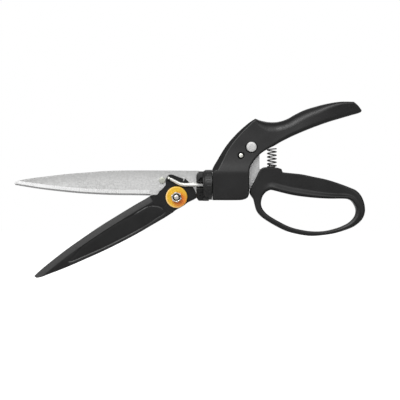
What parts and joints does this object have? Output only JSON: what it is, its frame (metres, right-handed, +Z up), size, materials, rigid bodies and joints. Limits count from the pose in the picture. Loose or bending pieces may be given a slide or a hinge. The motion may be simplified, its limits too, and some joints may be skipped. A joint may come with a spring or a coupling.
{
  "type": "grass shears",
  "caption": "One-handed grass shears: a squeezed loop handle pulls a rod that swings the lower blade up to the fixed blade, on a head that swivels about the rod.",
  "frame": {"origin": "middle of the bounding box of the tool with its blades open, which lies on the tool's middle plane about 5 mm below the swivel axis", "axes": "+X from the blade tips to the handle ends, along the swivel axis; +Z up, from the finger loop to the upper handle; +Y away from the side that carries the blade pivot's nut"},
  "size_m": [0.3502, 0.031, 0.1759],
  "materials": {
    "satin_steel": "satin ground, fine lengthwise grain, brighter land along the edge",
    "coated_black_steel": "black low-friction coating, semi-matt, worn grey on the ground edge",
    "black_nylon": "moulded, fine spark-eroded texture",
    "collar_black": "moulded, slightly shinier than the handles",
    "yellow_plastic": "moulded, satin gloss",
    "bright_steel": "zinc plated, bright",
    "plate_steel": "stamped, zinc phosphate grey",
    "spring_steel": "oiled spring wire",
    "white_acetal": "moulded, smooth"
  },
  "bodies": {
    "body": {"body_shell_front": "black_nylon", "body_shell_rear": "black_nylon", "shell_screw_front": "bright_steel", "shell_screw_rear_1": "bright_steel", "shell_screw_rear_2": "bright_steel", "shell_screw_rear_3": "bright_steel", "lever_rivet": "bright_steel", "lever_bush": "white_acetal", "return_spring": "spring_steel", "head_bearing_sleeve": "white_acetal", "head_thrust_washer": "spring_steel", "detent_ball": "bright_steel", "detent_spring": "spring_steel"},
    "lever": {"lever_plate": "plate_steel", "loop_handle": "black_nylon"},
    "head": {"head_carrier": "collar_black", "rotation_collar": "collar_black", "spigot_retaining_ring": "spring_steel", "fixed_blade": "satin_steel", "stop_pin": "bright_steel", "pivot_bolt": "bright_steel", "pivot_wave_washer": "spring_steel", "pivot_disc": "yellow_plastic", "pivot_nut": "bright_steel"},
    "moving_blade_body": {"moving_blade": "coated_black_steel"},
    "rod": {"drive_rod": "bright_steel", "rod_ball_end": "bright_steel", "rod_lock_nut": "bright_steel"}
  },
  "joints": [
    {"name": "handle_squeeze", "type": "hinge", "parent": "body", "child": "lever", "pos_m": [0.0622, 0, 0.0428], "axis": [0, -1, 0], "range_deg": [0, 17.9], "stiffness_Nm_per_rad": 1.5, "springref_deg": -20.05, "deforming": ["return_spring"]},
    {"name": "head_swivel", "type": "hinge", "parent": "body", "child": "head", "pos_m": [0.02, 0, 0.0052], "axis": [1, 0, 0], "continuous": true},
    {"name": "blade_cut", "type": "hinge", "parent": "head", "child": "moving_blade_body", "pos_m": [-0.0125, 0, -0.0072], "axis": [0, 1, 0], "range_deg": [0, 34.3]},
    {"name": "rod_pull", "type": "slide", "parent": "head", "child": "rod", "axis": [1, 0, 0], "range_m": [0, 0.01218]}
  ],
  "couplings": [
    {"joint": "blade_cut", "follows": "handle_squeeze", "ratio": 1.9162},
    {"joint": "rod_pull", "follows": "handle_squeeze", "m_per_rad": 0.038977}
  ]
}
